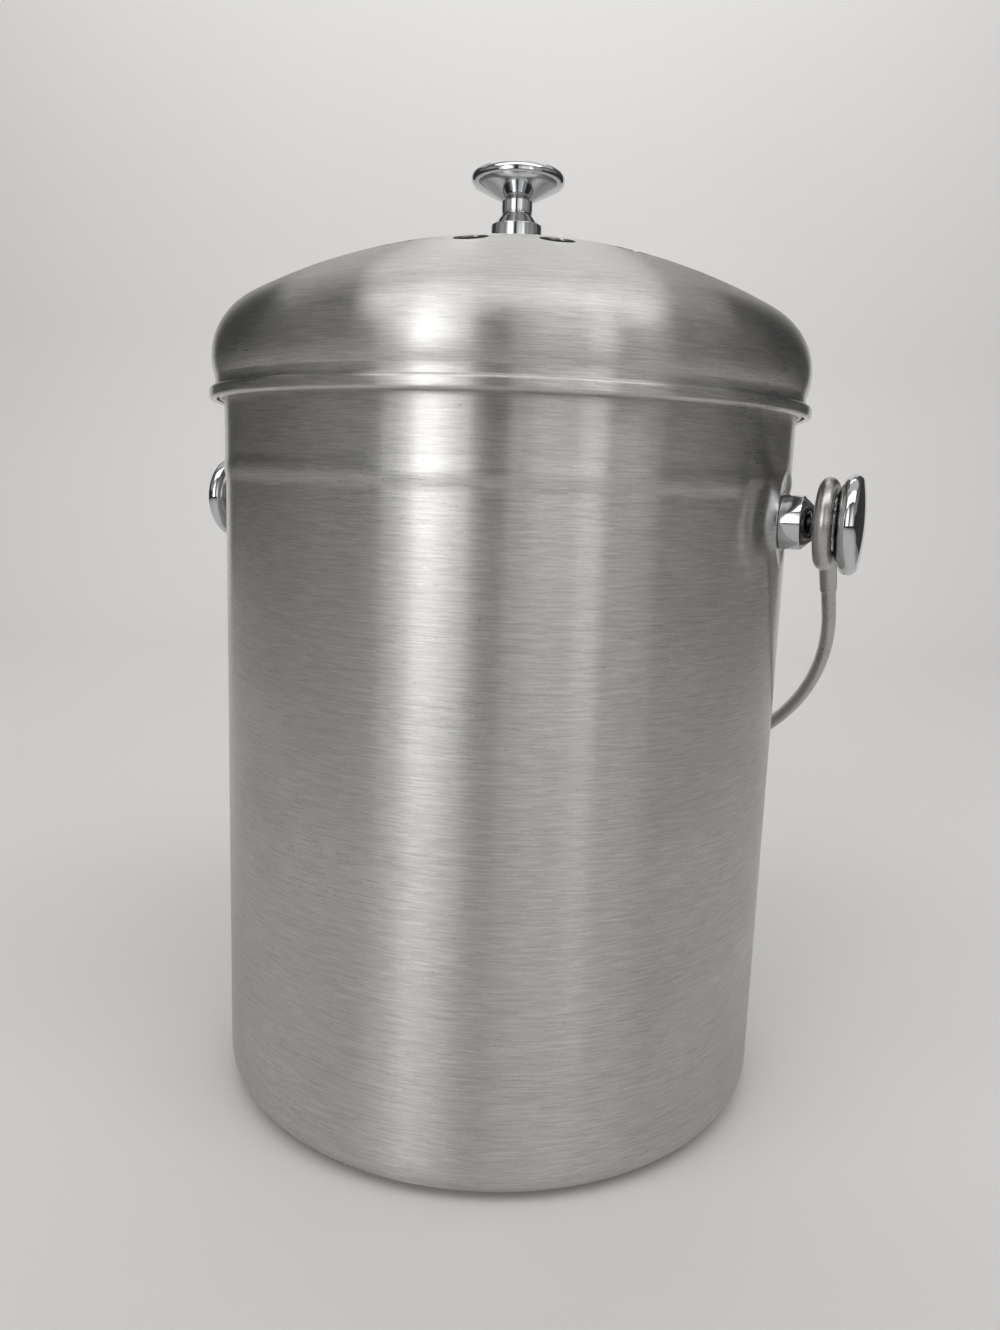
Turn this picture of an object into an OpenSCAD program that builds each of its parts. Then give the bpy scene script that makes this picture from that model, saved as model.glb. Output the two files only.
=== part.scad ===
// Countertop compost bin: a drawn steel pot with a lift-off domed lid, a charcoal filter in the lid
// and a wire bail that swings on two mushroom knobs.
// The origin is the middle of the base, Z is up, and the bail pivots lie along X with the bail down at +Y.

/* [Body] */
// Outside diameter of the body
body_d = 174; // [150:1:200]
// Height from the base to the top of the rolled rim
body_h = 216; // [180:1:260]
// Thickness of the steel sheet of body, lid and collar
wall = 0.6; // [0.5:0.1:0.8]
// Outside radius of the corner between wall and base
base_corner_r = 10; // [5:1:20]
// Distance of the raised band's crest below the rim
band_drop = 21.4; // [20:0.2:24]
// Height of the raised band
band_h = 9; // [6:0.5:10]
// How far the crest of the band stands out from the wall
band_rise = 0.4; // [0.2:0.1:0.8]
// How much further out the wall is above the band than below it
mouth_step = 0.25; // [0:0.05:0.5]
// Outside radius of the rolled rim
rim_roll_r = 1.1; // [0.9:0.1:1.4]

/* [Handle pads] */
// Distance of the bail's pivot axis below the rim
pivot_drop = 31.8; // [30:0.2:60]
// Depth of the flat pad pressed into the wall behind each handle knob
pad_depth = 0.5; // [0.4:0.1:0.8]
// Width of the flat of the pad round the knob's base
pad_margin = 1.2; // [0.5:0.1:3]
// Width of the slope round the pad
pad_slope_w = 4; // [2:0.5:5]

/* [Lid] */
// How far the lip of the lid hangs below the top of the body's rim
lip_drop = 2.4; // [1.8:0.1:5]
// Gap in radius between the body's rim and the lip
lip_clearance = 0.4; // [0.2:0.1:1]
// Width of the rolled lip
lip_w = 2.2; // [1.9:0.1:3]
// Height of the rolled lip
lip_h = 3.8; // [3.2:0.1:5]
// How far the dome's widest line lies inside the lip's outer edge
dome_inset = 0.7; // [0.4:0.1:1.2]
// Height of the dome's widest line above the top of the lip
dome_rise = 8.6; // [7.4:0.1:12]
// Depth of the groove between dome and lip
groove_depth = 1; // [0.6:0.1:1.2]
// Radius of the bend from the groove into the lip, at mid sheet
neck_bend_r = 0.6; // [0.5:0.1:0.8]
// Radius of the dome's round shoulder
shoulder_r = 19.2; // [18:0.2:24]
// Radius of the dome's shallow crown
crown_r = 164.5; // [150:0.1:240]

/* [Vents] */
// Number of vent holes round the lid knob
vent_count = 14; // [8:1:16]
// Diameter of a vent hole
vent_d = 9.6; // [6:0.2:12]
// Radius of the circle that the vent holes lie on
vent_circle_r = 51.1; // [46:0.1:58]
// Angle of the first vent hole from the pivot axis
vent_angle = 22.8; // [0:0.1:45]

/* [Lid collar and seal] */
// Depth that the lid's collar reaches into the body
collar_depth = 17; // [14:0.5:17]
// Gap in radius between collar and body
collar_clearance = 0.4; // [0.3:0.1:0.8]
// Radius of the bend between collar and flange, at mid sheet
collar_bend_r = 1; // [0.6:0.1:1.2]
// Gap between the end of the flange and the dome
flange_clearance = 0.05; // [0.02:0.01:0.2]
// Thickness of the lid's seal
seal_t = 1.2; // [0.8:0.1:1.6]
// Gap between the seal and the rim under it
seat_gap = 0.3; // [0.2:0.1:0.5]

/* [Knobs] */
// Diameter of a knob's round foot
knob_foot_d = 15.6; // [14:0.2:18]
// Height of a knob's foot
knob_foot_h = 6.2; // [5:0.2:9]
// Chamfer on the edges of a knob's foot
knob_chamfer = 0.4; // [0.2:0.1:0.8]
// Height of the flare between foot and neck
knob_flare_h = 3; // [2:0.1:4]
// Diameter of a knob's neck
knob_neck_d = 9.4; // [9:0.2:11]
// Diameter of a knob's head
knob_head_d = 28.4; // [26:0.2:34]
// Height of the head's widest line
knob_rim_h = 19.4; // [19:0.1:22]
// Slope of the cone under the head
knob_bowl_slope = 26; // [20:1:30]
// Radius of the round side between that cone and the widest line
knob_bowl_r = 2.8; // [2.2:0.1:4.5]
// Height of the head's cap above the widest line
knob_cap_h = 3.4; // [3:0.1:6]
// Radius of the edge between the widest line and the cap
knob_edge_r = 2.4; // [1.6:0.1:2.8]
// Radius of the hollow under a knob's foot
knob_hollow_r = 6.5; // [5:0.1:6.5]
// Depth of the hollow under a knob's foot
knob_hollow_h = 0.5; // [0.4:0.1:1]

/* [Bail] */
// Diameter of the bail wire
bail_wire_d = 4.3; // [3.4:0.1:4.4]
// Length of each straight leg from the pivot axis to the bow
bail_leg_l = 36.5; // [34:0.5:70]
// Gap between each eye and the head of its knob
eye_gap = 0.4; // [0.2:0.05:1.2]
// Diameter of the hole in each eye
eye_hole_d = 16; // [14:0.2:18]
// Diameter of the round stock of each eye
eye_stock_d = 5.2; // [4.8:0.1:5.6]
// Diameter of the shank below each eye
shank_d = 5.1; // [5:0.1:5.6]
// Distance of the shank's end from the pivot axis
shank_l = 26.6; // [24:0.2:32]
// Depth of the socket that holds the wire
socket_depth = 11; // [6:0.5:11]
// Length of the bevel on the shank's end
shank_bevel = 0.3; // [0.1:0.1:0.6]
// Gap between the hanging bail and the body
bail_rest_gap = 0.3; // [0.2:0.1:0.8]

/* [Fasteners] */
// Diameter of the knob screws
screw_d = 4; // [3:0.5:5]
// Length of screw inside a knob
screw_grip = 9; // [6:0.5:12]
// Space past the screw's end in the knob's hole
screw_end_gap = 1; // [0.5:0.1:2]
// Diameter of a screw's head
screw_head_d = 7.6; // [6.6:0.2:9]
// Height of a screw's head
screw_head_h = 2.6; // [2:0.1:3]
// Width of the cross recess in a screw's head
cross_w = 1; // [0.6:0.1:1.4]
// Length of the cross recess
cross_l = 4.4; // [3:0.2:5]
// Depth of the cross recess
cross_depth = 1.4; // [0.8:0.1:1.6]
// Diameter of a washer
washer_d = 10; // [9:0.2:10]
// Thickness of a washer
washer_t = 0.8; // [0.5:0.1:1.2]
// Gap in radius between a screw and the hole that it passes through
hole_clearance = 0.25; // [0.1:0.05:0.4]
// Gap in radius between a screw or wire and the hole that grips it
grip_clearance = 0.05; // [0.03:0.01:0.1]

/* [Filter] */
// Thickness of the charcoal filter
filter_t = 10; // [6:0.5:14]
// Gap in radius between the filter and its retainer
filter_clearance = 0.3; // [0.2:0.1:1]
// Height of the retainer's outer wall
retainer_h = 8; // [6:0.5:10]
// Thickness of the retainer's outer wall
retainer_wall = 1.8; // [1.2:0.1:3]
// Gap in radius between retainer and collar
retainer_clearance = 0.3; // [0.2:0.1:0.6]
// Thickness of the retainer's grille
grille_t = 2; // [1.2:0.1:3]
// Width of the ledge that the filter's edge rests on
ledge_w = 4; // [2:0.5:8]
// Number of spokes in the grille
spoke_count = 8; // [5:1:12]
// Width of a spoke and of the grille's middle ring
spoke_w = 3; // [2:0.2:5]
// Radius of the grille's hub
hub_r = 10; // [8:1:16]
// Radius of the grille's middle ring
grille_ring_r = 45; // [30:1:60]

/* [Hidden] */
$fn = 96;
// Largest gap between an arc and its chords, and the largest turn of one chord in degrees
arc_gap = 0.02;
arc_turn = 15;
// How far a cut runs past the face that it opens
cut_over = 1;

body_r = body_d / 2;
mouth_r = body_r + mouth_step;
rim_roll_mid_r = rim_roll_r - wall / 2;
rim_out_r = mouth_r + 2 * rim_roll_r - wall;
band_z = body_h - band_drop;

pivot_z = body_h - pivot_drop;
pad_x = body_r - pad_depth;
pad_r = knob_foot_d / 2 + pad_margin;
pad_slope = pad_slope_w / pad_depth;

lip_z = body_h - lip_drop;
lip_top_z = lip_z + lip_h;
lip_r = rim_out_r + lip_clearance + lip_w;
lip_mid_r = lip_w / 2 - wall / 2;
lip_centre_r = lip_r - lip_w / 2;
lip_upper = [lip_centre_r, lip_top_z - lip_w / 2];
lip_lower = [lip_centre_r, lip_z + lip_w / 2];
lip_end = -150;

dome_r = lip_r - dome_inset;
shoulder_mid_r = shoulder_r - wall / 2;
shoulder_c = [dome_r - shoulder_r, lip_top_z + dome_rise];
shoulder_end = -acos(1 - groove_depth / shoulder_mid_r);
neck_mid_r = dome_r - wall / 2 - groove_depth;
neck_c = [neck_mid_r + neck_bend_r, lip_top_z - wall / 2 + neck_bend_r];
crown_c = [0, shoulder_c.y - sqrt(pow(crown_r - shoulder_r, 2) - pow(shoulder_c.x, 2))];
crown_end = atan2(shoulder_c.y - crown_c.y, shoulder_c.x);
crown_mid_r = crown_r - wall / 2;
crown_hole_r = screw_d / 2 + hole_clearance;

seal_z = body_h + seat_gap;
flange_z = seal_z + seal_t;
collar_z = body_h - collar_depth;
collar_r = mouth_r - wall - collar_clearance;
collar_mid_r = collar_r - wall / 2;
seal_in_r = collar_r + collar_bend_r;

retainer_r = collar_r - wall - retainer_clearance;
retainer_in_r = retainer_r - retainer_wall;
filter_r = retainer_in_r - filter_clearance;

knob_foot_r = knob_foot_d / 2;
knob_neck_r = knob_neck_d / 2;
knob_head_r = knob_head_d / 2;
knob_h = knob_rim_h + knob_cap_h;
bowl_c = [knob_head_r - knob_bowl_r, knob_rim_h];
bowl_start = bowl_c + knob_bowl_r * [sin(knob_bowl_slope), -cos(knob_bowl_slope)];

// Height of the cone under a knob's head at a given radius
function bowl_z(r) = bowl_start.y - (bowl_start.x - r) * tan(knob_bowl_slope);

eye_mid_r = (eye_hole_d + eye_stock_d) / 2;
eye_reach = bowl_z(eye_mid_r) - (eye_stock_d / 2 + eye_gap) / cos(knob_bowl_slope);
bail_half_w = pad_x + eye_reach;
bail_reach = bail_leg_l + bail_half_w;
bail_rest_angle = asin((body_r + bail_rest_gap + bail_wire_d / 2) / bail_reach);
wire_end = shank_l - socket_depth;

// Heights on the crown at a given radius, outside and inside the sheet
function crown_z(r) = crown_c.y + sqrt(crown_r * crown_r - r * r);
function crown_under_z(r) = crown_c.y + sqrt(pow(crown_r - wall, 2) - r * r);

knob_seat_z = crown_z(knob_hollow_r);
// The rim of the lid's washer lies close under the crown
lid_washer_z = crown_under_z(washer_d / 2) - 2 * arc_gap;

// Points along an arc from angle a0 to a1 round c
function arc(c, r, a0, a1) =
    let (n = ceil(abs(a1 - a0) / min(arc_turn, 2 * acos(1 - arc_gap / r))))
    [for (i = [0:n]) let (a = a0 + (a1 - a0) * i / n) c + r * [cos(a), sin(a)]];

function unit(v) = v / norm(v);
function heading(path, i) = unit(path[i + 1] - path[i]);

// A path moved sideways by d, with mitred corners
function beside(path, d) =
    let (last = len(path) - 2)
    [for (i = [0:last + 1])
        let (before = heading(path, max(i - 1, 0)))
        let (after = heading(path, min(i, last)))
        let (mid = unit(before + after))
        path[i] + d / (mid * after) * [-mid.y, mid.x]];

function tail(path) = [for (i = [1:len(path) - 1]) path[i]];
function reversed(path) = [for (i = [len(path) - 1:-1:0]) path[i]];

// Outline of a sheet of thickness t bent along its middle line
function sheet(path, t) = concat(beside(path, t / 2), reversed(beside(path, -t / 2)));

// Middle line of the body sheet from the centre of the base to the end of the rolled rim
base_path = concat(
    [[0, wall / 2]],
    arc([body_r - base_corner_r, base_corner_r], base_corner_r - wall / 2, -90, 0));

band_steps = 12;
band_path = [for (i = [0:band_steps])
    let (s = i / band_steps)
    [body_r - wall / 2 + mouth_step * s + band_rise * pow(sin(180 * s), 2), band_z + band_h * (s - 1 / 2)]];

rim_c = [mouth_r - wall / 2 + rim_roll_mid_r, body_h - rim_roll_r];
rim_path = arc(rim_c, rim_roll_mid_r, 180, -60);

body_path = concat(base_path, band_path, rim_path);
body_core = concat(base_path, band_path, [[0, band_z + band_h / 2]]);

// Middle line of the lid sheet from the knob hole to the end of the rolled lip
crown_path = arc(crown_c, crown_mid_r, acos(crown_hole_r / crown_mid_r), crown_end);
shoulder_path = tail(arc(shoulder_c, shoulder_mid_r, crown_end, shoulder_end));
lip_path = concat(
    arc(neck_c, neck_bend_r, 180, 270),
    arc(lip_upper, lip_mid_r, 90, 0),
    arc(lip_lower, lip_mid_r, 0, lip_end));

lid_path = concat(crown_path, shoulder_path, lip_path);

// Middle line of the collar sheet from its lower edge to the end of its flange
flange_r = neck_mid_r - wall / 2 - flange_clearance;
collar_path = concat(
    [[collar_mid_r, collar_z]],
    arc([collar_mid_r + collar_bend_r, flange_z + wall / 2 - collar_bend_r], collar_bend_r, 180, 90),
    [[flange_r, flange_z + wall / 2]]);

// Outline of a knob from the middle of its hollow foot to the top of its head
flare_w = knob_foot_r - knob_chamfer - knob_neck_r;
edge_c = [knob_head_r - knob_edge_r, knob_rim_h];
cap_span = pow(edge_c.x, 2) + pow(knob_cap_h, 2) - pow(knob_edge_r, 2);
cap_r = cap_span / (2 * (knob_cap_h - knob_edge_r));
cap_angle = atan2(cap_r - knob_cap_h, edge_c.x);

knob_foot_path = [
    [0, knob_hollow_h],
    [knob_hollow_r, knob_hollow_h],
    [knob_hollow_r, 0],
    [knob_foot_r - knob_chamfer, 0],
    [knob_foot_r, knob_chamfer],
    [knob_foot_r, knob_foot_h - knob_chamfer]];

knob_flare_path = [
    [knob_neck_r + flare_w, knob_foot_h],
    [knob_neck_r, knob_foot_h + knob_flare_h]];

knob_path = concat(
    knob_foot_path,
    knob_flare_path,
    [[knob_neck_r, bowl_z(knob_neck_r)]],
    arc(bowl_c, knob_bowl_r, knob_bowl_slope - 90, 0),
    tail(arc(edge_c, knob_edge_r, 0, cap_angle)),
    tail(arc([0, knob_h - cap_r], cap_r, cap_angle, 90)));

// Puts a shape on one handle pad, with its own Z pointing out along the pivot axis
module on_pad(side) {
    translate([side * pad_x, 0, pivot_z])
        rotate([0, side * 90, 0])
            children();
}

// The pivot axis with the bail hanging against the back of the body
module on_bail() {
    translate([0, 0, pivot_z])
        rotate([bail_rest_angle, 0, 0])
            children();
}

module turned(outline) {
    rotate_extrude()
        polygon(outline);
}

// A flat ring
module ring(outer_r, inner_r, height) {
    rotate_extrude()
        translate([inner_r, 0])
            square([outer_r - inner_r, height]);
}

module knob() {
    difference() {
        turned(knob_path);
        cylinder(r = screw_d / 2 + grip_clearance, h = screw_grip + screw_end_gap);
    }
}

// A pan head screw that holds a knob at z = 0 from a washer whose outer face lies at seat_z
module screw(seat_z) {
    head_z = seat_z - screw_head_h;
    difference() {
        union() {
            translate([0, 0, head_z])
                cylinder(d = screw_head_d, h = screw_head_h);
            translate([0, 0, seat_z - screw_head_h / 2])
                cylinder(d = screw_d, h = screw_grip - seat_z + screw_head_h / 2);
        }
        for (turn = [0, 90])
            rotate([0, 0, turn])
                translate([-cross_l / 2, -cross_w / 2, head_z - cut_over])
                    cube([cross_l, cross_w, cross_depth + cut_over]);
    }
}

module washer(top_z) {
    translate([0, 0, top_z - washer_t])
        ring(washer_d / 2, screw_d / 2 + hole_clearance, washer_t);
}

// The pressed pad: its hollow outside, and its back inside the wall
module pad_hollow() {
    over_r = pad_r + pad_slope * (pad_depth + cut_over);
    cylinder(r1 = pad_r, r2 = over_r, h = pad_depth + cut_over);
}

module pad_back(side) {
    back_r = pad_r + wall;
    back_h = pad_depth + wall;
    intersection() {
        on_pad(side)
            translate([0, 0, -wall])
                cylinder(r1 = back_r, r2 = back_r + pad_slope * back_h, h = back_h);
        turned(body_core);
    }
}

module body_shell() {
    color("silver")
        difference() {
            union() {
                turned(sheet(body_path, wall));
                for (side = [-1, 1])
                    pad_back(side);
            }
            for (side = [-1, 1])
                on_pad(side) {
                    pad_hollow();
                    translate([0, 0, -wall - cut_over])
                        cylinder(r = screw_d / 2 + hole_clearance, h = wall + 2 * cut_over);
                }
        }
}

module handle_knob(side) {
    color("gainsboro")
        on_pad(side)
            knob();
}

module handle_screws() {
    color("gray")
        for (side = [-1, 1])
            on_pad(side)
                screw(-wall - washer_t);
}

module handle_washers() {
    color("darkgray")
        for (side = [-1, 1])
            on_pad(side)
                washer(-wall);
}

module bail_wire() {
    color("darkgray")
        on_bail() {
            for (side = [-1, 1])
                translate([side * bail_half_w, 0, -bail_leg_l])
                    cylinder(d = bail_wire_d, h = bail_leg_l - wire_end - grip_clearance);
            translate([0, 0, -bail_leg_l])
                rotate([-90, 0, 0])
                    rotate_extrude(angle = 180)
                        translate([bail_half_w, 0])
                            circle(d = bail_wire_d);
        }
}

module bail_eye(side) {
    color("darkgray")
        on_bail()
            translate([side * bail_half_w, 0, 0])
                difference() {
                    union() {
                        rotate([0, 90, 0])
                            rotate_extrude()
                                translate([eye_mid_r, 0])
                                    circle(d = eye_stock_d);
                        translate([0, 0, shank_bevel - shank_l])
                            cylinder(d = shank_d, h = shank_l - shank_bevel - eye_mid_r);
                        translate([0, 0, -shank_l])
                            cylinder(r1 = shank_d / 2 - shank_bevel, r2 = shank_d / 2, h = shank_bevel);
                    }
                    translate([0, 0, -shank_l - cut_over])
                        cylinder(r = bail_wire_d / 2 + grip_clearance, h = socket_depth + cut_over);
                }
}

module lid_dome() {
    color("silver")
        difference() {
            turned(sheet(lid_path, wall));
            for (i = [0:vent_count - 1])
                rotate([0, 0, vent_angle + 360 * i / vent_count])
                    translate([vent_circle_r, 0, lip_top_z])
                        cylinder(d = vent_d, h = knob_seat_z - lip_top_z + cut_over);
        }
}

module lid_collar() {
    color("lightgray")
        turned(sheet(collar_path, wall));
}

module lid_seal() {
    color("dimgray")
        translate([0, 0, seal_z])
            ring(rim_out_r, seal_in_r, seal_t);
}

module lid_knob() {
    color("gainsboro")
        translate([0, 0, knob_seat_z])
            knob();
}

module lid_knob_screw() {
    color("gray")
        translate([0, 0, knob_seat_z])
            screw(lid_washer_z - washer_t - knob_seat_z);
}

module lid_knob_washer() {
    color("darkgray")
        washer(lid_washer_z);
}

module filter_retainer() {
    ledge_r = retainer_in_r - ledge_w;
    color("black")
        translate([0, 0, collar_z]) {
            ring(retainer_r, retainer_in_r, retainer_h);
            ring(retainer_r, ledge_r, grille_t);
            ring(grille_ring_r + spoke_w / 2, grille_ring_r - spoke_w / 2, grille_t);
            cylinder(r = hub_r, h = grille_t);
            for (i = [0:spoke_count - 1])
                rotate([0, 0, 360 * i / spoke_count])
                    translate([0, -spoke_w / 2, 0])
                        cube([retainer_r - retainer_wall / 2, spoke_w, grille_t]);
        }
}

module charcoal_filter() {
    color("darkslategray")
        translate([0, 0, collar_z + grille_t])
            cylinder(r = filter_r, h = filter_t);
}

body_shell();
handle_knob(-1);  // handle_knob_left
handle_knob(1);  // handle_knob_right
handle_screws();
handle_washers();
bail_wire();
bail_eye(-1);  // bail_eye_left
bail_eye(1);  // bail_eye_right
lid_dome();
lid_collar();
lid_seal();
lid_knob();
lid_knob_screw();
lid_knob_washer();
filter_retainer();
charcoal_filter();
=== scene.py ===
import math

import bmesh
import bpy
import numpy as np
from mathutils import Matrix, Vector


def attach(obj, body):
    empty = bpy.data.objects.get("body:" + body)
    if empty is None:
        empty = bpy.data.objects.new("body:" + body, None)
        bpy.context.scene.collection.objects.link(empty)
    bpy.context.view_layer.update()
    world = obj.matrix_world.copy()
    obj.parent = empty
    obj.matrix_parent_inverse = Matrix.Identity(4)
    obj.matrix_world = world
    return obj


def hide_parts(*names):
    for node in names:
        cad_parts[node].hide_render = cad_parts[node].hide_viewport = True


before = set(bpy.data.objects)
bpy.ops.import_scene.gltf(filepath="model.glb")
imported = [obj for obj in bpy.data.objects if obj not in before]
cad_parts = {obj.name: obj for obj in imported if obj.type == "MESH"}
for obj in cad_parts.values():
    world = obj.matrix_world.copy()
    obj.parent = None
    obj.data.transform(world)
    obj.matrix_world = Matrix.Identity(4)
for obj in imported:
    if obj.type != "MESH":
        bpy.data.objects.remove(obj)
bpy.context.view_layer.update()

MM = 0.001
WELD = 1e-7  # metres within which mesh points become one
TINY = 1e-6  # millimetres that count as no length

# Sizes in millimetres, as in the part's source
WALL = 0.6
BODY_R, BODY_H, BASE_CORNER_R = 87.0, 216.0, 10.0
BAND_Z, BAND_H, BAND_RISE, MOUTH_STEP = 194.6, 9.0, 0.4, 0.25
RIM_C, RIM_MID_R, RIM_END = (87.75, 214.9), 0.8, -60
PIVOT_Z, PAD_X, PAD_R, PAD_SLOPE = 184.2, 86.5, 9.0, 8.0
LIP_C_R, LIP_UPPER_Z, LIP_LOWER_Z, LIP_MID_R, LIP_END = 90.35, 216.3, 214.7, 0.8, -150
SHOULDER_C, SHOULDER_MID_R, SHOULDER_END = (71.55, 226.0), 18.9, -18.72
NECK_C, NECK_BEND_R = (90.05, 217.7), 0.6
CROWN_R, CROWN_Z, CROWN_END = 164.5, 99.538, 60.50
VENTS, VENT_R, VENT_RING_R, VENT_ANGLE = 14, 4.8, 51.1, 22.8
KNOB_HOLE_R, KNOB_SEAT_Z = 2.25, 263.909
BAIL_HALF_W, BAIL_LEG, BAIL_ANGLE, BAIL_WIRE_R, WIRE_TOP = 99.057, 36.5, 41.289, 2.15, 15.65
EYE_MID_R, EYE_STOCK_R, SHANK_R, SHANK_L = 10.6, 2.6, 2.55, 26.6
COLLAR_MID_R, COLLAR_Z, FLANGE_MID_Z, FLANGE_R, COLLAR_BEND_R = 85.95, 199.0, 217.8, 89.1, 1.0
SEAL_IN, SEAL_OUT, SEAL_Z, SEAL_TOP = 87.25, 88.85, 216.3, 217.5
RETAINER_R, RETAINER_IN_R, RETAINER_TOP, GRILLE_T, LEDGE_W = 85.35, 83.55, 207.0, 2.0, 4.0
SPOKES, SPOKE_W, HUB_R, MID_RING_R = 8, 3.0, 10.0, 45.0
FILTER_R, FILTER_Z, FILTER_TOP = 83.25, 201.0, 211.0


# Outlines in the plane of radius and height

def arc(centre, r, a0, a1, steps):
    """Points on a circle from angle a0 to a1 in degrees."""
    a = np.radians(np.linspace(a0, a1, steps + 1))
    return np.stack([centre[0] + r * np.cos(a), centre[1] + r * np.sin(a)], axis=1)


def line(p, q, steps):
    t = np.linspace(0, 1, steps + 1)[:, None]
    return np.array(p) * (1 - t) + np.array(q) * t


def chain(*runs):
    """One path of several runs of points, without repeated points."""
    points = np.concatenate([np.atleast_2d(np.array(run, float)) for run in runs])
    keep = np.r_[True, np.linalg.norm(np.diff(points, axis=0), axis=1) > TINY]
    return points[keep]


def beside(path, d):
    """The path moved to its left by d, with mitred corners."""
    step = np.diff(path, axis=0)
    step /= np.linalg.norm(step, axis=1)[:, None]
    before, after = np.vstack([step[:1], step]), np.vstack([step, step[-1:]])
    mid = before + after
    mid /= np.linalg.norm(mid, axis=1)[:, None]
    reach = d / (mid * after).sum(axis=1)
    return path + reach[:, None] * np.stack([-mid[:, 1], mid[:, 0]], axis=1)


def rounded(outline, r, steps=4):
    """A closed outline with every corner rounded to radius r."""
    outline = np.array(outline, float)
    runs = []
    for i, p in enumerate(outline):
        a, b = outline[i - 1] - p, outline[(i + 1) % len(outline)] - p
        a, b = a / np.linalg.norm(a), b / np.linalg.norm(b)
        half = math.acos(np.clip(a @ b, -1, 1)) / 2
        back = r / math.tan(half)
        t = np.linspace(0, 1, steps + 1)[:, None]
        runs.append((p + a * back) * (1 - t) ** 2 + 2 * p * t * (1 - t) + (p + b * back) * t ** 2)
    return np.concatenate(runs)


def block(r0, r1, z0, z1):
    return [(r0, z0), (r0, z1), (r1, z1), (r1, z0)]


def run_length(points):
    """The length of a path up to each of its points."""
    return np.r_[0, np.cumsum(np.linalg.norm(np.diff(points, axis=0), axis=1))]


# Meshes

def add_object(name, data):
    obj = bpy.data.objects.new(name, data)
    bpy.context.scene.collection.objects.link(obj)
    return obj


def smooth(mesh, sharp):
    """Smooth shading, with edges of more than the given degrees kept sharp."""
    mesh.shade_smooth()
    mesh.set_sharp_from_angle(angle=math.radians(sharp))


def net(rows, count, closed=False):
    """Faces over rows of points that each close in a ring, and that close from last to first where asked."""
    faces = []
    for i in range(rows if closed else rows - 1):
        p, q = i * count, (i + 1) % rows * count
        for j in range(count):
            k = (j + 1) % count
            faces.append((p + j, p + k, q + k, q + j))
    return faces


def piece(name, verts, faces, run, sharp=40, closed=True):
    """An object in metres from points in millimetres.

    Its UVs are the turn about Z and the length along the outline in metres.
    """
    verts = np.array(verts, float)
    mesh = bpy.data.meshes.new(name)
    mesh.from_pydata((verts * MM).tolist(), [], [tuple(f) for f in faces])
    turn = np.arctan2(verts[:, 1], verts[:, 0]) / (2 * math.pi)
    index = np.empty(len(mesh.loops), dtype=np.int32)
    mesh.loops.foreach_get("vertex_index", index)
    u = turn[index]
    start = np.empty(len(mesh.polygons), dtype=np.int32)
    total = np.empty(len(mesh.polygons), dtype=np.int32)
    mesh.polygons.foreach_get("loop_start", start)
    mesh.polygons.foreach_get("loop_total", total)
    face = np.repeat(np.arange(len(start)), total)
    high = np.full(len(start), -np.inf)
    np.maximum.at(high, face, u)
    u = np.where(high[face] - u > 0.5, u + 1, u)
    uv = mesh.uv_layers.new(name="UVMap")
    uv.data.foreach_set("uv", np.stack([u, np.array(run)[index] * MM], axis=1).ravel())
    work = bmesh.new()
    work.from_mesh(mesh)
    bmesh.ops.remove_doubles(work, verts=work.verts, dist=WELD)
    if closed:
        bmesh.ops.recalc_face_normals(work, faces=work.faces)
    work.to_mesh(mesh)
    work.free()
    smooth(mesh, sharp)
    return add_object(name, mesh)


def turned_grid(outline, segments, loop=False, start=0.0):
    """Points, faces and lengths of an outline turned about Z."""
    outline = np.array(outline, float)
    if loop:
        outline = np.vstack([outline, outline[:1]])
    length = run_length(outline)
    a = math.radians(start) + np.arange(segments) * 2 * math.pi / segments
    verts, run, rows = [], [], []
    for (r, z), v in zip(outline, length):
        rows.append(len(verts))
        if r < TINY:
            verts.append((0.0, 0.0, z))
            run.append(v)
        else:
            verts.extend(zip(r * np.cos(a), r * np.sin(a), np.full(segments, z)))
            run.extend([v] * segments)
    faces = []
    for i in range(len(outline) - 1):
        p, q = rows[i], rows[i + 1]
        p_pole, q_pole = outline[i][0] < TINY, outline[i + 1][0] < TINY
        for j in range(segments):
            k = (j + 1) % segments
            if p_pole and q_pole:
                continue
            if p_pole:
                faces.append((p, q + j, q + k))
            elif q_pole:
                faces.append((p + j, q, p + k))
            else:
                faces.append((p + j, q + j, q + k, p + k))
    return verts, faces, run


def turned(name, outline, segments, loop=False, place=None, sharp=40):
    verts, faces, run = turned_grid(outline, segments, loop)
    obj = piece(name, verts, faces, run, sharp)
    if place is not None:
        obj.data.transform(place)
    return obj


def apply_modifiers(obj):
    mesh = bpy.data.meshes.new_from_object(obj.evaluated_get(bpy.context.evaluated_depsgraph_get()))
    obj.modifiers.clear()
    obj.data = mesh


def merged(name, objs):
    """Several meshes in one object, each with its own UVs."""
    work = bmesh.new()
    for o in objs:
        work.from_mesh(o.data)
        bpy.data.objects.remove(o)
    mesh = bpy.data.meshes.new(name)
    work.to_mesh(mesh)
    work.free()
    return add_object(name, mesh)


def fit(obj, material, body, slot, *nodes):
    """Gives a finished piece its material and body, and hides the nodes that it stands for. The slot is not
    used.
    """
    obj.data.materials.clear()
    obj.data.materials.append(material)
    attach(obj, body)
    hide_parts(*nodes)


# Materials

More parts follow.
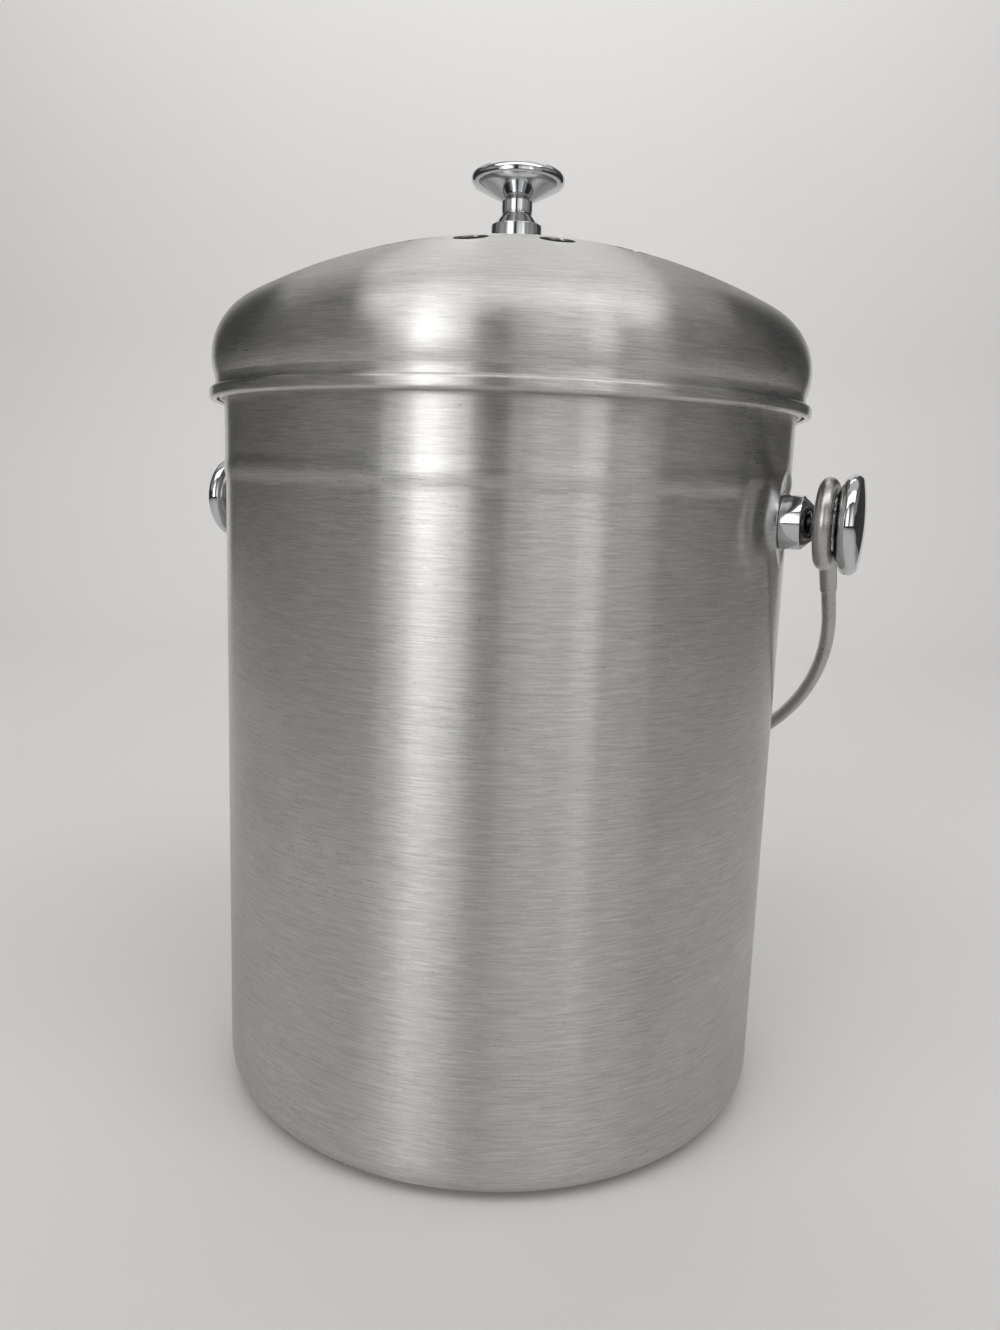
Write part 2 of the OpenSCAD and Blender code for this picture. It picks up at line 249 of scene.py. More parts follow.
class Maker:
    """A material's node tree with short ways to add and join nodes."""

    def __init__(self, name):
        self.material = bpy.data.materials.new(name)
        self.material.use_nodes = True
        self.tree = self.material.node_tree
        self.shader = self.tree.nodes["Principled BSDF"]

    def add(self, kind, inputs=None, **settings):
        node = self.tree.nodes.new(kind)
        for key, value in settings.items():
            setattr(node, key, value)
        for key, value in (inputs or {}).items():
            self.put(node.inputs[key], value)
        return node

    def put(self, socket, value):
        if isinstance(value, bpy.types.NodeSocket):
            self.tree.links.new(value, socket)
        else:
            socket.default_value = value

    def set(self, **values):
        for key, value in values.items():
            self.put(self.shader.inputs[key.replace("_", " ")], value)

    def math(self, operation, a, b=0.0):
        return self.add("ShaderNodeMath", {0: a, 1: b}, operation=operation).outputs[0]

    def noise(self, vector, scale, detail=2.0, rough=0.5):
        inputs = {"Vector": vector, "Scale": scale, "Detail": detail, "Roughness": rough}
        return self.add("ShaderNodeTexNoise", inputs).outputs["Fac"]

    def spread(self, value, low, high, to_low=0.0, to_high=1.0):
        inputs = {0: value, 1: low, 2: high, 3: to_low, 4: to_high}
        return self.add("ShaderNodeMapRange", inputs).outputs[0]

    def ramp(self, value, *stops):
        node = self.add("ShaderNodeValToRGB", {0: value})
        while len(node.color_ramp.elements) < len(stops):
            node.color_ramp.elements.new(0.5)
        for element, (place, colour) in zip(node.color_ramp.elements, stops):
            element.position = place
            element.color = (*colour, 1)
        return node.outputs[0]

    def bump(self, height, strength, distance):
        node = self.add("ShaderNodeBump", {"Height": height, "Strength": strength, "Distance": distance})
        self.put(self.shader.inputs["Normal"], node.outputs[0])

    def object_point(self):
        return self.add("ShaderNodeTexCoord").outputs["Object"]


def tint(colour, k):
    return tuple(min(1.0, c * k) for c in colour)


def brushed(name, colour, rough, aniso, marks=1.0):
    """Steel sheet brushed round its axis: rows of scratches, fine lines, specks and smudges."""
    m = Maker(name)
    point = m.add("ShaderNodeSeparateXYZ", {0: m.object_point()})
    uv = m.add("ShaderNodeSeparateXYZ", {0: m.add("ShaderNodeUVMap", uv_map="UVMap").outputs[0]})

    def along(turn_scale, line_scale):
        """Points for noise that is drawn out along the brushing."""
        x = m.math("MULTIPLY", point.outputs[0], turn_scale)
        y = m.math("MULTIPLY", point.outputs[1], turn_scale)
        v = m.math("MULTIPLY", uv.outputs[1], line_scale)
        return m.add("ShaderNodeCombineXYZ", {0: x, 1: y, 2: v}).outputs[0]

    def scratches(rows, count):
        """A random value per scratch, with rows per metre of outline and count scratches round each row."""
        row = m.math("FLOOR", m.math("MULTIPLY", uv.outputs[1], rows))
        start = m.add("ShaderNodeTexWhiteNoise", {"W": row}, noise_dimensions="1D").outputs["Value"]
        cell = m.math("FLOOR", m.math("MULTIPLY", m.math("ADD", uv.outputs[0], start), count))
        place = m.add("ShaderNodeCombineXYZ", {0: row, 1: cell}).outputs[0]
        return m.add("ShaderNodeTexWhiteNoise", {"Vector": place}, noise_dimensions="2D").outputs["Value"]

    short, long = scratches(4200.0, 130.0), scratches(2900.0, 70.0)
    soft = m.noise(along(90.0, 2600.0), 1.0, 1.0, 0.5)
    lines = m.math("ADD", m.math("MULTIPLY", short, 0.5), m.math("MULTIPLY", long, 0.4))
    lines = m.math("ADD", lines, m.math("MULTIPLY", soft, 0.1))
    haze = m.noise(m.object_point(), 26.0, 3.0, 0.55)
    specks = m.spread(m.noise(m.object_point(), 420.0, 1.0), 0.79, 0.82)
    base = m.ramp(lines, (0.1, tint(colour, 0.84)), (0.5, colour), (0.9, tint(colour, 1.16)))
    dull = m.math("MULTIPLY", specks, 0.35 * marks)
    mixed = m.add("ShaderNodeMix", {0: dull, 6: base, 7: (*tint(colour, 0.45), 1)}, data_type="RGBA")
    gloss = m.spread(lines, 0.1, 0.9, rough - 0.015, rough + 0.015)
    gloss = m.math("ADD", gloss, m.spread(haze, 0.35, 0.75, -0.02, 0.04))
    tangent = m.add("ShaderNodeTangent", direction_type="RADIAL", axis="Z")
    m.set(Base_Color=mixed.outputs[2], Metallic=1.0, Roughness=gloss)
    m.set(Anisotropic=aniso, Anisotropic_Rotation=0.25, Tangent=tangent.outputs[0])
    m.bump(soft, 0.05, 0.00004)
    return m.material


def chrome(name, colour):
    """Polished chrome with faint finger haze."""
    m = Maker(name)
    point = m.object_point()
    haze = m.noise(point, 130.0, 3.0, 0.6)
    ripple = m.noise(point, 240.0, 1.0)
    m.set(Base_Color=m.ramp(haze, (0.3, tint(colour, 0.95)), (0.7, colour)), Metallic=1.0)
    m.set(Roughness=m.spread(haze, 0.35, 0.75, 0.03, 0.10))
    m.bump(ripple, 0.05, 0.00005)
    return m.material


def satin(name, colour, rough, grain=1.0):
    """Satin drawn steel with fine random grain and a few darker rubs."""
    m = Maker(name)
    point = m.object_point()
    fine = m.noise(point, 1500.0 * grain, 2.0, 0.6)
    rub = m.noise(point, 70.0, 3.0, 0.6)
    mix = m.math("ADD", m.math("MULTIPLY", fine, 0.4), m.math("MULTIPLY", rub, 0.6))
    base = m.ramp(mix, (0.3, tint(colour, 0.78)), (0.5, colour), (0.7, tint(colour, 1.12)))
    m.set(Base_Color=base, Metallic=1.0)
    m.set(Roughness=m.spread(mix, 0.3, 0.7, rough - 0.07, rough + 0.08))
    m.bump(fine, 0.12, 0.00005)
    return m.material


def rubbery(name, colour):
    """Matt silicone with a faint bloom."""
    m = Maker(name)
    point = m.object_point()
    bloom = m.noise(point, 60.0, 4.0, 0.6)
    fine = m.noise(point, 2200.0, 2.0)
    m.set(Base_Color=m.ramp(bloom, (0.3, tint(colour, 0.85)), (0.7, tint(colour, 1.2))))
    m.set(Roughness=m.spread(bloom, 0.3, 0.7, 0.55, 0.72))
    m.bump(fine, 0.15, 0.00008)
    return m.material


def moulded(name, colour):
    """Black plastic with a fine spark-eroded texture."""
    m = Maker(name)
    point = m.object_point()
    grain = m.noise(point, 1800.0, 3.0, 0.65)
    dust = m.noise(point, 45.0, 4.0, 0.6)
    m.set(Base_Color=m.ramp(dust, (0.3, tint(colour, 0.8)), (0.72, tint(colour, 1.7))))
    m.set(Roughness=m.spread(grain, 0.3, 0.7, 0.42, 0.62))
    m.bump(grain, 0.35, 0.0001)
    return m.material


def felt(name, colour):
    """Carbon-filled felt: matted fibres, pale flecks and soft lumps."""
    m = Maker(name)
    point = m.object_point()
    bend = m.add("ShaderNodeTexNoise", {"Vector": point, "Scale": 160.0, "Detail": 2.0})
    shifted = m.add("ShaderNodeVectorMath", {0: bend.outputs["Color"], "Scale": 0.006}, operation="SCALE")
    path = m.add("ShaderNodeVectorMath", {0: point, 1: shifted.outputs[0]}, operation="ADD").outputs[0]
    fibre = m.add("ShaderNodeTexVoronoi", {"Vector": path, "Scale": 900.0}, feature="DISTANCE_TO_EDGE")
    strand = m.spread(fibre.outputs[0], 0.0, 0.12, 1.0, 0.0)
    lump = m.noise(point, 220.0, 4.0, 0.65)
    body = m.math("ADD", m.math("MULTIPLY", strand, 0.55), m.math("MULTIPLY", lump, 0.45))
    m.set(Base_Color=m.ramp(body, (0.2, tint(colour, 0.5)), (0.55, colour), (0.9, tint(colour, 2.6))))
    m.set(Roughness=m.spread(lump, 0.3, 0.7, 0.85, 1.0), Sheen_Weight=0.25, Sheen_Roughness=0.6)
    m.bump(body, 0.8, 0.0006)
    return m.material


brushed_sheet = brushed("brushed_sheet_steel", (0.56, 0.55, 0.535), 0.30, 1.0)
collar_steel = brushed("collar_sheet_steel", (0.64, 0.63, 0.62), 0.30, 0.6, 0.5)
knob_chrome = chrome("knob_chrome_plate", (0.62, 0.63, 0.64))
bail_steel = satin("bail_satin_steel", (0.47, 0.45, 0.43), 0.30)
fastener_steel = satin("fastener_zinc", (0.58, 0.58, 0.58), 0.34, 0.7)
silicone = rubbery("seal_grey_silicone", (0.16, 0.16, 0.17))
plastic = moulded("retainer_black_plastic", (0.03, 0.03, 0.03))
carbon = felt("filter_carbon_felt", (0.05, 0.05, 0.05))


# Body

def body_outline():
    """The pot's sheet, from the middle of the base to the rolled rim and back."""
    mid, wall_r, corner_r = WALL / 2, BODY_R - WALL / 2, BODY_R - BASE_CORNER_R
    base_r, low_z, high_z, fine_z, mouth_z = 20, 14, 164, 165, 212
    path = chain(
        [(0, mid)], line((base_r, mid), (corner_r, mid), 4),
        arc((corner_r, BASE_CORNER_R), BASE_CORNER_R - mid, -90, 0, 18),
        line((wall_r, low_z), (wall_r, high_z), 14),
        line((wall_r, fine_z), (wall_r, BAND_Z - BAND_H / 2), 25))
    s = np.linspace(0, 1, 37)
    bulge = wall_r + MOUTH_STEP * s + BAND_RISE * np.sin(math.pi * s) ** 2
    band = np.stack([bulge, BAND_Z + BAND_H * (s - 0.5)], axis=1)
    mouth = line(band[-1], (band[-1][0], mouth_z), 8)
    path = chain(path, band, mouth, arc(RIM_C, RIM_MID_R, 180, RIM_END, 22))
    inner, outer = beside(path, WALL / 2), beside(path, -WALL / 2)
    inner[0], outer[0] = (0, WALL), (0, 0)
    return chain(inner, outer[::-1])


def press_pads(verts):
    """Presses the flat pad behind each knob into the wall, outside and inside alike."""
    reach_z, side_x, soften = 30, 70, 0.12
    verts = np.array(verts)
    r = np.hypot(verts[:, 0], verts[:, 1])
    x = np.abs(verts[:, 0])
    near = (np.abs(verts[:, 2] - PIVOT_Z) < reach_z) & (x > side_x)
    inside = near & (r < BODY_R - WALL / 2)
    face = np.where(inside, PAD_X - WALL, PAD_X)
    away = np.hypot(verts[:, 1], verts[:, 2] - PIVOT_Z)
    limit = face + np.maximum(0, away - PAD_R) / PAD_SLOPE
    h = np.clip(0.5 + 0.5 * (limit - x) / soften, 0, 1)
    pressed = limit * (1 - h) + x * h - soften * h * (1 - h)
    verts[:, 0] = np.where(near, np.sign(verts[:, 0]) * np.minimum(pressed, x), verts[:, 0])
    return verts


verts, faces, run = turned_grid(body_outline(), 360)
bin_body = piece("bin_body", press_pads(verts), faces, run)
fit(bin_body, brushed_sheet, "bin", "brushed_sheet", "body_shell")


# Lid

def crown_height(r):
    """The height of the crown's outside at a radius."""
    return CROWN_Z + np.sqrt(CROWN_R ** 2 - r ** 2)


def crown_run(r):
    """The length along the crown from its middle to a radius."""
    return CROWN_R * np.arcsin(r / CROWN_R)


def lid_shell():
    """The lid's sheet: the crown inside the vents, a patch round each vent, and the rest down to the lip."""
    sides, rise_steps, rings, crowd, margin = 20, 14, 8, 1.6, 7.2
    inner_r, outer_r = VENT_RING_R - margin, VENT_RING_R + margin
    segments = sides * VENTS
    start = VENT_ANGLE - 180 / VENTS
    verts, faces, run = [], [], []

    def put(points, quads, lengths):
        base = len(verts)
        verts.extend(points)
        run.extend(lengths)
        faces.extend(tuple(base + i for i in q) for q in quads)

    r = np.linspace(KNOB_HOLE_R, inner_r, 18)
    points, quads, _ = turned_grid(np.stack([r, crown_height(r)], axis=1), segments, start=start)
    put(points, quads, np.repeat(crown_run(r), segments))

    half = math.pi / VENTS
    a = np.linspace(-half, half, sides + 1)
    rise = np.linspace(inner_r, outer_r, rise_steps + 1)
    edge = np.concatenate([
        np.stack([np.full(sides, inner_r), a[:-1]], axis=1),
        np.stack([rise[:-1], np.full(rise_steps, half)], axis=1),
        np.stack([np.full(sides, outer_r), a[:0:-1]], axis=1),
        np.stack([rise[:0:-1], np.full(rise_steps, -half)], axis=1)])
    edge = np.stack([edge[:, 0] * np.cos(edge[:, 1]), edge[:, 0] * np.sin(edge[:, 1])], axis=1)
    centre = np.array([VENT_RING_R, 0.0])
    spoke = edge - centre
    circle = centre + VENT_R * spoke / np.linalg.norm(spoke, axis=1)[:, None]
    quads = net(rings + 1, len(edge))
    for v in range(VENTS):
        turn = math.radians(VENT_ANGLE + 360 * v / VENTS)
        spin = np.array([[math.cos(turn), math.sin(turn)], [-math.sin(turn), math.cos(turn)]])
        points, lengths = [], []
        for i in range(rings + 1):
            t = (i / rings) ** crowd
            flat = (circle * (1 - t) + edge * t) @ spin
            far = np.hypot(flat[:, 0], flat[:, 1])
            points.extend(zip(flat[:, 0], flat[:, 1], crown_height(far)))
            lengths.extend(crown_run(far))
        put(points, quads, lengths)

    crown_last = math.degrees(math.acos(outer_r / CROWN_R))
    path = chain(
        arc((0, CROWN_Z), CROWN_R - WALL / 2, crown_last, CROWN_END, 16),
        arc(SHOULDER_C, SHOULDER_MID_R, CROWN_END, SHOULDER_END, 44),
        arc(NECK_C, NECK_BEND_R, 180, 270, 8),
        arc((LIP_C_R, LIP_UPPER_Z), LIP_MID_R, 90, 0, 10),
        arc((LIP_C_R, LIP_LOWER_Z), LIP_MID_R, 0, LIP_END, 16))
    outside = beside(path, WALL / 2)
    outside[0] = (outer_r, crown_height(outer_r))
    points, quads, _ = turned_grid(outside, segments, start=start)
    put(points, quads, np.repeat(crown_run(outer_r) + run_length(outside), segments))

    obj = piece("lid_shell", verts, faces, run, sharp=50, closed=False)
    sheet = obj.modifiers.new("sheet", "SOLIDIFY")
    sheet.thickness, sheet.offset = WALL * MM, -1
    sheet.use_even_offset = sheet.use_quality_normals = True
    bevel = obj.modifiers.new("edge", "BEVEL")
    bevel.width, bevel.segments = 0.12 * MM, 2
    bevel.limit_method, bevel.angle_limit = "ANGLE", math.radians(60)
    apply_modifiers(obj)
    smooth(obj.data, 50)
    return obj


fit(lid_shell(), brushed_sheet, "lid", "brushed_sheet", "lid_dome")

collar_path = chain(
    line((COLLAR_MID_R, COLLAR_Z), (COLLAR_MID_R, COLLAR_Z + 12), 2),
    arc((COLLAR_MID_R + COLLAR_BEND_R, FLANGE_MID_Z - COLLAR_BEND_R), COLLAR_BEND_R, 180, 90, 10),
    [(FLANGE_R, FLANGE_MID_Z)])
collar_outline = chain(beside(collar_path, -WALL / 2), beside(collar_path, WALL / 2)[::-1])
collar = turned("lid_collar_ring", collar_outline, 240, loop=True)
fit(collar, collar_steel, "lid", "collar_sheet", "lid_collar")

seal_section = rounded(block(SEAL_IN, SEAL_OUT, SEAL_Z, SEAL_TOP), 0.3)
seal = turned("lid_seal_ring", seal_section, 200, loop=True)
fit(seal, silicone, "lid", "seal_silicone", "lid_seal")


# Knobs

def knob_outline():
    """A knob's outline from the top of its head down to a shallow recess under its foot."""
    recess_r, recess_h, soft_w, soft_h = 6.5, 0.5, 0.3, 0.35
    foot_r, foot_h, edge, flare_h, neck_r = 7.8, 6.2, 0.4, 3.0, 4.7
    head_r, rim_z, bowl_r, slope, edge_r, cap_h = 14.2, 19.4, 2.8, 26, 2.4, 3.4
    bowl_c, edge_c, top = (head_r - bowl_r, rim_z), (head_r - edge_r, rim_z), rim_z + cap_h
    bowl = arc(bowl_c, bowl_r, slope - 90, 0, 16)
    cone_z = bowl[0][1] - (bowl[0][0] - neck_r) * math.tan(math.radians(slope))
    cap_r = (edge_c[0] ** 2 + cap_h ** 2 - edge_r ** 2) / (2 * (cap_h - edge_r))
    cap_a = math.degrees(math.atan2(cap_r - cap_h, edge_c[0]))
    up = chain(
        [(0, recess_h), (recess_r, recess_h), (recess_r, 0)],
        arc((foot_r - edge, edge), edge, -90, 0, 5),
        arc((foot_r - edge, foot_h - edge), edge, 0, 90, 5),
        line((foot_r - edge, foot_h), (neck_r + soft_w, foot_h + flare_h - soft_h), 6),
        line((neck_r, foot_h + flare_h + soft_h), (neck_r, cone_z), 4),
        line((neck_r, cone_z), bowl[0], 8),
        bowl,
        arc(edge_c, edge_r, 0, cap_a, 10),
        arc((0, top - cap_r), cap_r, cap_a, 90, 20))
    up[-1][0] = 0
    return up[::-1]


for side, name in ((-1, "left"), (1, "right")):
    pad = Matrix.Translation((side * PAD_X * MM, 0, PIVOT_Z * MM))
    outward = pad @ Matrix.Rotation(side * math.pi / 2, 4, "Y")
    side_knob = turned("knob_" + name, knob_outline(), 128, place=outward, sharp=30)
    fit(side_knob, knob_chrome, "bin", "knob_chrome", "handle_knob_" + name)
seat = Matrix.Translation((0, 0, KNOB_SEAT_Z * MM))
top_knob = turned("knob_top", knob_outline(), 128, place=seat, sharp=30)
fit(top_knob, knob_chrome, "lid", "knob_chrome", "lid_knob")


# Bail

BAIL_PLACE = Matrix.Translation((0, 0, PIVOT_Z * MM)) @ Matrix.Rotation(math.radians(BAIL_ANGLE), 4, "X")


def tube(name, points, radii, across, sides=40):
    """A round tube along a path in a plane, whose normal is across, closed at both ends."""
    points, across = np.array(points, float), np.array(across, float)
    ahead = np.gradient(points, axis=0)
    ahead /= np.linalg.norm(ahead, axis=1)[:, None]
    beside_path = np.cross(ahead, across)
    a = np.linspace(0, 2 * math.pi, sides, endpoint=False)
    verts, run = [], []
    length = run_length(points)
    for p, n, r, v in zip(points, beside_path, radii, length):
        verts.extend(p + r * (np.cos(a)[:, None] * n + np.sin(a)[:, None] * across))
        run.extend([v] * sides)
    faces = net(len(points), sides)
    last = (len(points) - 1) * sides
    faces.append(tuple(range(sides))[::-1])
    faces.append(tuple(last + j for j in range(sides)))
    return piece(name, verts, faces, run)


bow = arc((0, -BAIL_LEG), BAIL_HALF_W, 0, -180, 120)
leg = np.stack([np.full(12, BAIL_HALF_W), -np.linspace(WIRE_TOP, BAIL_LEG, 12)], axis=1)
wire_path = chain(leg, bow, leg[::-1] * (-1, 1))
wire_path = np.stack([wire_path[:, 0], np.zeros(len(wire_path)), wire_path[:, 1]], axis=1)
wire = tube("bail_bow", wire_path, np.full(len(wire_path), BAIL_WIRE_R), (0, 1, 0))
wire.data.transform(BAIL_PLACE)
fit(wire, bail_steel, "bail", "bail_steel", "bail_wire")


def eye(name, side):
    """A ring and its shank, melted together where they meet."""
    turns, sides = 96, 36
    a = np.linspace(0, 2 * math.pi, turns, endpoint=False)
    b = np.linspace(0, 2 * math.pi, sides, endpoint=False)
    across, around = np.meshgrid(b, a)
    far = EYE_MID_R + EYE_STOCK_R * np.cos(across)
    points = np.stack([EYE_STOCK_R * np.sin(across), far * np.sin(around), far * np.cos(around)], axis=-1)
    points = points.reshape(-1, 3)
    ring = piece(name + "_ring", points, net(turns, sides, closed=True), points[:, 2])
    z = np.r_[EYE_MID_R, np.linspace(EYE_MID_R + 1, SHANK_L - 0.4, 16), SHANK_L - 0.12, SHANK_L]
    r = np.r_[np.full(len(z) - 2, SHANK_R), SHANK_R - 0.08, SHANK_R - 0.3]
    zero = np.zeros(len(z))
    shank = tube(name + "_shank", np.stack([zero, zero, -z], axis=1), r, (0, 1, 0), sides)
    obj = merged(name, [ring, shank])
    melt = obj.modifiers.new("melt", "REMESH")
    melt.mode, melt.voxel_size = "VOXEL", 0.24 * MM
    soften = obj.modifiers.new("soften", "SMOOTH")
    soften.factor, soften.iterations = 0.5, 6
    apply_modifiers(obj)
    obj.data.transform(BAIL_PLACE @ Matrix.Translation((side * BAIL_HALF_W * MM, 0, 0)))
    obj.data.shade_smooth()
    return obj


for side, name in ((-1, "left"), (1, "right")):
    fit(eye("bail_ring_" + name, side), bail_steel, "bail", "bail_steel", "bail_eye_" + name)


# Filter

def bar(name, length, width, height, z, turn):
    """A bar with rounded edges that lies out from the axis, from height z up."""
    work = bmesh.new()
    bmesh.ops.create_cube(work, size=1.0)
    for v in work.verts:
        v.co = Vector(((v.co.x + 0.5) * length, v.co.y * width, z + (v.co.z + 0.5) * height)) * MM
    bmesh.ops.bevel(work, geom=list(work.edges), offset=0.35 * MM, segments=3, affect="EDGES", profile=0.5)
    work.transform(Matrix.Rotation(turn, 4, "Z"))
    mesh = bpy.data.meshes.new(name)
    mesh.uv_layers.new(name="UVMap")
    work.to_mesh(mesh)
    work.free()
    smooth(mesh, 40)
    return add_object(name, mesh)


z0, z1 = COLLAR_Z, COLLAR_Z + GRILLE_T
ledge_r, edge_r = RETAINER_IN_R - LEDGE_W, 0.4
cup = rounded([
    (ledge_r, z0), (ledge_r, z1), (RETAINER_IN_R, z1), (RETAINER_IN_R, RETAINER_TOP),
    (RETAINER_R, RETAINER_TOP), (RETAINER_R, z0)], edge_r)
mid_ring = rounded(block(MID_RING_R - SPOKE_W / 2, MID_RING_R + SPOKE_W / 2, z0, z1), 0.35)
hub = chain(
    [(0, z1)], arc((HUB_R - edge_r, z1 - edge_r), edge_r, 90, 0, 4),
    arc((HUB_R - edge_r, z0 + edge_r), edge_r, 0, -90, 4), [(0, z0)])
grille = [
    turned("cup", cup, 200, loop=True), turned("mid_ring", mid_ring, 128, loop=True), turned("hub", hub, 64)]
spoke_l, sunk = ledge_r + 2, 0.01
for i in range(SPOKES):
    turn = 2 * math.pi * i / SPOKES
    grille.append(bar("spoke_%d" % i, spoke_l, SPOKE_W, GRILLE_T - 2 * sunk, z0 + sunk, turn))
fit(merged("filter_cup", grille), plastic, "filter_cartridge", "retainer_plastic", "filter_retainer")

flat, corner, lump, tuft = FILTER_R - 1.6, 1.5, 0.16, 0.10
felt_outline = chain(
    np.stack([np.linspace(0, flat, 40), np.full(40, FILTER_TOP)], axis=1),
    arc((FILTER_R - corner, FILTER_TOP - corner), corner, 90, 0, 6),
    line((FILTER_R, FILTER_TOP - 2), (FILTER_R, FILTER_Z + 2), 6),
    arc((FILTER_R - corner, FILTER_Z + corner), corner, 0, -90, 6),
    np.stack([np.linspace(flat, 0, 40), np.full(40, FILTER_Z)], axis=1))
verts, faces, run = turned_grid(felt_outline, 180)
verts = np.array(verts)
x, y, z = verts.T
uneven = lump * np.sin(x / 7.3 + 1.1) * np.sin(y / 6.1) + tuft * np.sin(x / 2.9) * np.sin(y / 3.4 + 0.6)
inward = np.sign(z - (FILTER_Z + FILTER_TOP) / 2) * (lump + tuft)
verts[:, 2] = np.clip(z + uneven - inward, FILTER_Z, FILTER_TOP)
fit(piece("filter_pad", verts, faces, run), carbon, "filter_cartridge", "filter_felt", "charcoal_filter")


# Screws and washers stay as they are, with a finish of their own
for name in ("handle_screws", "handle_washers", "lid_knob_screw", "lid_knob_washer"):
    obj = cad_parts[name]
    obj.data.materials.clear()
    obj.data.materials.append(fastener_steel)


# Camera

CAMERA_POINT = (0.1351, -0.31219, 0.19339)
TURN, PITCH, YAW, ROLL = math.radians(23.4), 0.1744, -0.0013, 0.0344
ahead = Vector((math.sin(YAW) * math.cos(PITCH), math.cos(YAW) * math.cos(PITCH), -math.sin(PITCH)))
right = Vector((math.cos(YAW), -math.sin(YAW), 0))
above = right.cross(ahead)
x_axis = math.cos(ROLL) * right + math.sin(ROLL) * above
y_axis = -math.sin(ROLL) * right + math.cos(ROLL) * above
spin = Matrix.Rotation(TURN, 3, "Z")
axes = Matrix((spin @ x_axis, spin @ y_axis, spin @ -ahead)).transposed().to_4x4()
camera = add_object("camera", bpy.data.cameras.new("camera"))
camera.data.lens, camera.data.sensor_width, camera.data.clip_start = 28.42, 36, 0.01
camera.matrix_world = Matrix.Translation(CAMERA_POINT) @ axes
bpy.context.scene.camera = camera


# Floor, backdrop and light

BACK = spin @ Vector((0, 1, 0))
RIGHT = spin @ Vector((1, 0, 0))


def toward(degrees):
    """The direction from the object, turned from the camera's side of it to the right."""
    a = math.radians(degrees)
    return -BACK * math.cos(a) + RIGHT * math.sin(a)


def pale(name, colour):
    """Plain matt paper."""
    m = Maker(name)
    soft = m.noise(m.object_point(), 3.0, 3.0)
    m.set(Base_Color=m.ramp(soft, (0.3, tint(colour, 0.985)), (0.7, colour)), Roughness=0.75)
    return m.material


def sweep():
    """A floor that turns up into a backdrop behind the object, as seen by the camera."""
    front, back, far, bend, top, half, wide = -2.0, 1.6, 1.25, 0.4, 1.5, 0.85, 2.2
    profile = [(front, 0.0), (front / 2, 0.0), (0.0, 0.0), (far - bend, 0.0)]
    for i in range(1, 17):
        a = math.radians(90 * i / 16)
        profile.append((far - bend + bend * math.sin(a), bend - bend * math.cos(a)))
    profile.append((far, top))
    verts, faces = [], []
    for depth, height in profile:
        for across in (-half, half):
            verts.append(BACK * depth + RIGHT * across + Vector((0, 0, height)))
    for i in range(len(profile) - 1):
        faces.append((2 * i, 2 * i + 1, 2 * i + 3, 2 * i + 2))
    wing = ((front, half), (front, wide), (back, wide), (back, half), (far - bend, half))
    for side in (1, -1):
        corners = range(len(verts), len(verts) + len(wing))
        verts.extend(BACK * depth + RIGHT * side * across for depth, across in wing)
        faces.append(tuple(corners[::side]))
    mesh = bpy.data.meshes.new("studio_floor")
    mesh.from_pydata([tuple(v) for v in verts], [], faces)
    mesh.shade_smooth()
    obj = add_object("studio_floor", mesh)
    obj.data.materials.append(pale("pale_floor", (0.80, 0.79, 0.78)))


sweep()


def panel(name, place, aim, width, height, radiance, grid=None):
    """A softbox of the given radiance straight ahead. A grid ends its light at an angle in degrees."""
    light = bpy.data.lights.new(name, "AREA")
    light.shape, light.size, light.size_y = "RECTANGLE", width, height
    light.energy = radiance * math.pi * width * height
    if grid:
        half = math.radians(grid)
        light.spread = 2 * half
        light.energy *= 1 - half / math.tan(half)
    obj = add_object(name, light)
    obj.location = place
    obj.rotation_mode = "QUATERNION"
    obj.rotation_quaternion = (Vector(aim) - Vector(place)).to_track_quat("-Z", "Y")
    obj.visible_camera = False


STRIP_FAR, STRIP_TOP, STRIP_GRID = 2.0, 2.6, 45


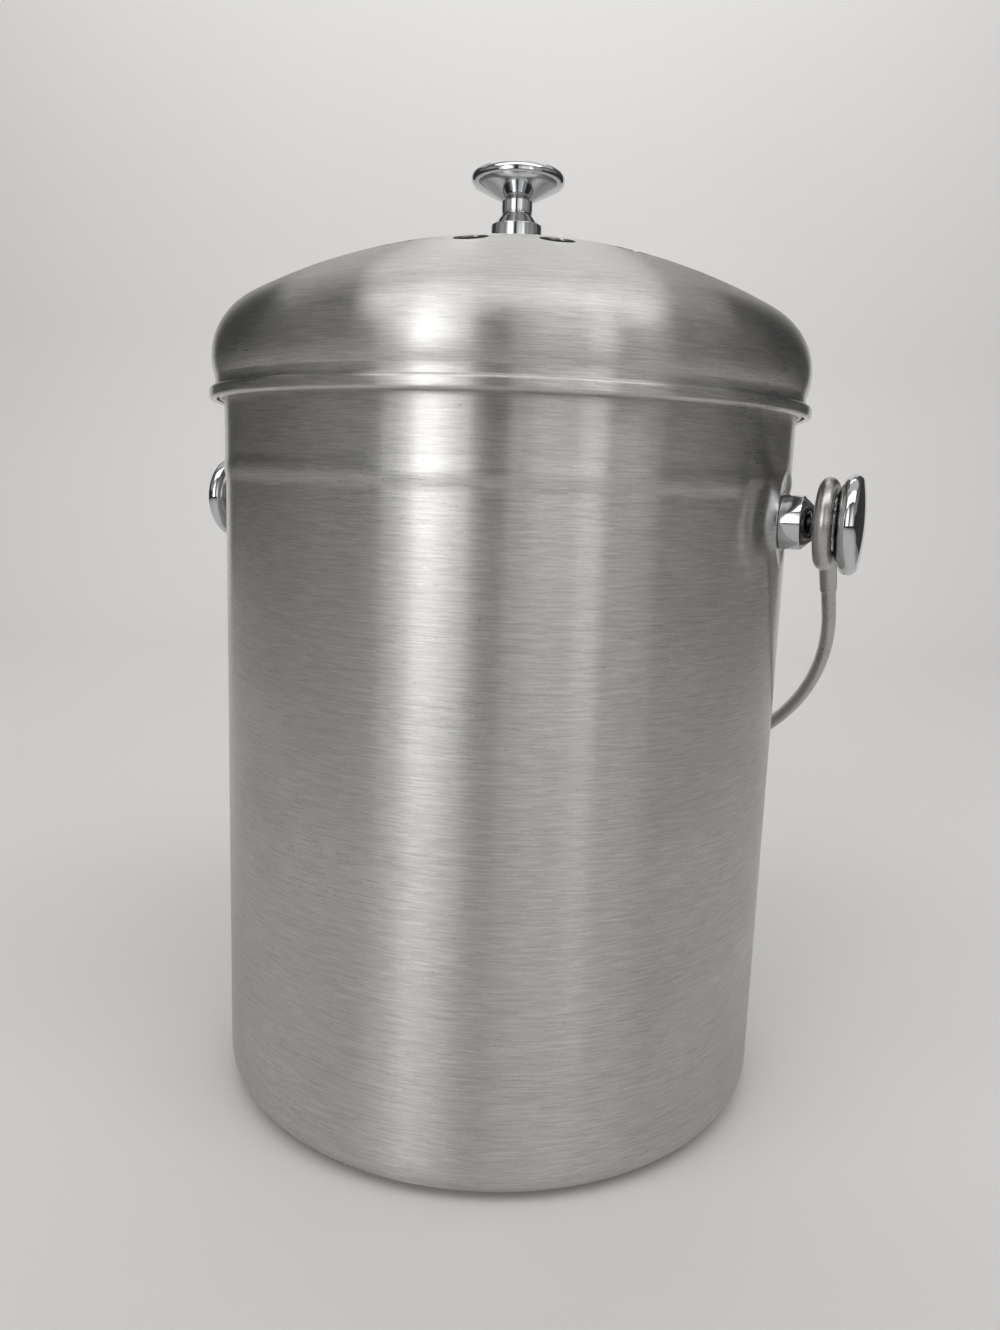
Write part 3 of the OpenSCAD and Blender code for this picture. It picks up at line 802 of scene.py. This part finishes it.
def strip(name, low, high, radiance, bottom=0.16):
    """A tall softbox that fills the directions from low to high degrees."""
    middle = (bottom + STRIP_TOP) / 2
    place = toward((low + high) / 2) * STRIP_FAR + Vector((0, 0, middle))
    width = 2 * STRIP_FAR * math.tan(math.radians(high - low) / 2)
    panel(name, place, (0, 0, middle), width, STRIP_TOP - bottom, radiance, STRIP_GRID)


strip("fill_far_left", -108, -86, 0.2, bottom=0.7)
strip("fill_left", -85, -48, 0.45, bottom=0.6)
strip("window_side", -47, -40, 1.1)
strip("window_edge", -40, -36, 2.4)
strip("window_left", -35.5, -25, 4.5)
strip("window_middle", -25, -20, 3.3)
strip("window_right", -20, -14, 2.2)
strip("front_left", -14, -10, 0.6)
strip("front", 0, 8, 0.8)
strip("front_right", 8, 26, 1.3)
strip("edge_right", 26, 36, 1.85)
strip("side_right", 36, 58, 0.5)
strip("fill_right", 59, 85, 0.4, bottom=0.6)
strip("fill_far_right", 86, 108, 0.2, bottom=0.7)
panel("overhead", BACK * 0.5 + Vector((0, 0, 1.5)), BACK * 0.5, 3.0, 1.3, 0.5)
panel("high_front", BACK * -0.8 + Vector((0, 0, 1.9)), (0, 0, 0.25), 3.4, 1.0, 2.0)
wash = BACK * 0.75 + Vector((0, 0, 1.5))
panel("backdrop_wash", wash, BACK * 1.25 + Vector((0, 0, 0.35)), 1.2, 0.3, 2.0)

# A faint glow all round that rises from the horizon upwards
world = bpy.data.worlds.new("studio")
world.use_nodes = True
sky = world.node_tree
height = sky.nodes.new("ShaderNodeSeparateXYZ")
glow = sky.nodes.new("ShaderNodeMapRange")
for socket, value in zip(list(glow.inputs)[1:5], (0.15, 0.9, 0.045, 0.14)):
    socket.default_value = value
sky.links.new(sky.nodes.new("ShaderNodeTexCoord").outputs["Generated"], height.inputs[0])
sky.links.new(height.outputs[2], glow.inputs[0])
sky.links.new(glow.outputs[0], sky.nodes["Background"].inputs["Strength"])
sky.nodes["Background"].inputs["Color"].default_value = (1, 1, 1, 1)
bpy.context.scene.world = world
bpy.context.scene.view_settings.view_transform = "Standard"
